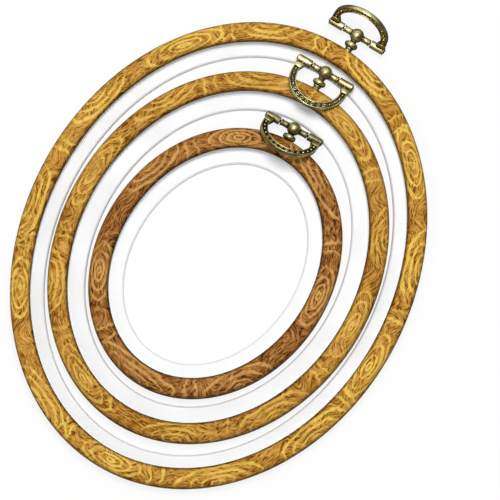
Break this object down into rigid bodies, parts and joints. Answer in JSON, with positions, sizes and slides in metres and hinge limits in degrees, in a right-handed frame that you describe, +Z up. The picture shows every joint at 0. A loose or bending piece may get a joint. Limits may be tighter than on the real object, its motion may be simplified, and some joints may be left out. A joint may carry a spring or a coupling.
{
  "type": "embroidery hoop set",
  "caption": "Nested oval embroidery hoops: wood-look flexible outer rings over white inner rings, each with a beaded antique-brass hanger that swings on its post.",
  "frame": {"origin": "middle of the large hoop, at the table", "axes": "+Z up from the table, +Y along the large hoop's long axis towards its hanger, +X along its short axis"},
  "size_m": [0.2064, 0.2736, 0.028],
  "materials": {
    "large_wood_look": "satin printed wood grain, golden brown with pale gold figure",
    "medium_wood_look": "satin printed wood grain, golden brown with pale gold figure",
    "small_wood_look": "satin printed wood grain, reddish brown",
    "white_plastic": "smooth white, slight sheen",
    "antique_brass": "antique olive brass, polished high spots and near-black recesses"
  },
  "bodies": {
    "large_inner": {"large_inner_ring": "white_plastic"},
    "large_outer": {"large_outer_ring": "large_wood_look", "large_anchor_insert": "antique_brass", "large_ferrule": "antique_brass", "large_hanger_post": "antique_brass", "large_hinge_pin": "antique_brass", "large_left_sleeve": "antique_brass", "large_right_sleeve": "antique_brass"},
    "large_hanger": {"large_bail": "antique_brass"},
    "medium_inner": {"medium_inner_ring": "white_plastic"},
    "medium_outer": {"medium_outer_ring": "medium_wood_look", "medium_anchor_insert": "antique_brass", "medium_ferrule": "antique_brass", "medium_hanger_post": "antique_brass", "medium_hinge_pin": "antique_brass", "medium_left_sleeve": "antique_brass", "medium_right_sleeve": "antique_brass"},
    "medium_hanger": {"medium_bail": "antique_brass"},
    "small_inner": {"small_inner_ring": "white_plastic"},
    "small_outer": {"small_outer_ring": "small_wood_look", "small_anchor_insert": "antique_brass", "small_ferrule": "antique_brass", "small_hanger_post": "antique_brass", "small_hinge_pin": "antique_brass", "small_left_sleeve": "antique_brass", "small_right_sleeve": "antique_brass"},
    "small_hanger": {"small_bail": "antique_brass"}
  },
  "joints": [
    {"name": "large_ring_pull", "type": "slide", "parent": "large_inner", "child": "large_outer", "axis": [0, 0, 1], "range_m": [0, 0.02]},
    {"name": "large_bail_hinge", "type": "hinge", "parent": "large_outer", "child": "large_hanger", "pos_m": [0.01181, 0.13554, 0.0064], "axis": [0.9971, -0.0767, 0], "range_deg": [-80, 84]},
    {"name": "medium_lift", "type": "slide", "parent": "large_inner", "child": "medium_inner", "axis": [0, 0, 1], "range_m": [0, 0.03]},
    {"name": "medium_ring_pull", "type": "slide", "parent": "medium_inner", "child": "medium_outer", "axis": [0, 0, 1], "range_m": [0, 0.02]},
    {"name": "medium_bail_hinge", "type": "hinge", "parent": "medium_outer", "child": "medium_hanger", "pos_m": [0.00598, 0.11036, 0.0064], "axis": [0.9979, -0.0645, 0], "range_deg": [-72, 0]},
    {"name": "small_lift", "type": "slide", "parent": "medium_inner", "child": "small_inner", "axis": [0, 0, 1], "range_m": [0, 0.03]},
    {"name": "small_ring_pull", "type": "slide", "parent": "small_inner", "child": "small_outer", "axis": [0, 0, 1], "range_m": [0, 0.02]},
    {"name": "small_bail_hinge", "type": "hinge", "parent": "small_outer", "child": "small_hanger", "pos_m": [0.00487, 0.07658, 0.0064], "axis": [0.9996, -0.0297, 0], "range_deg": [-70, 16]}
  ]
}
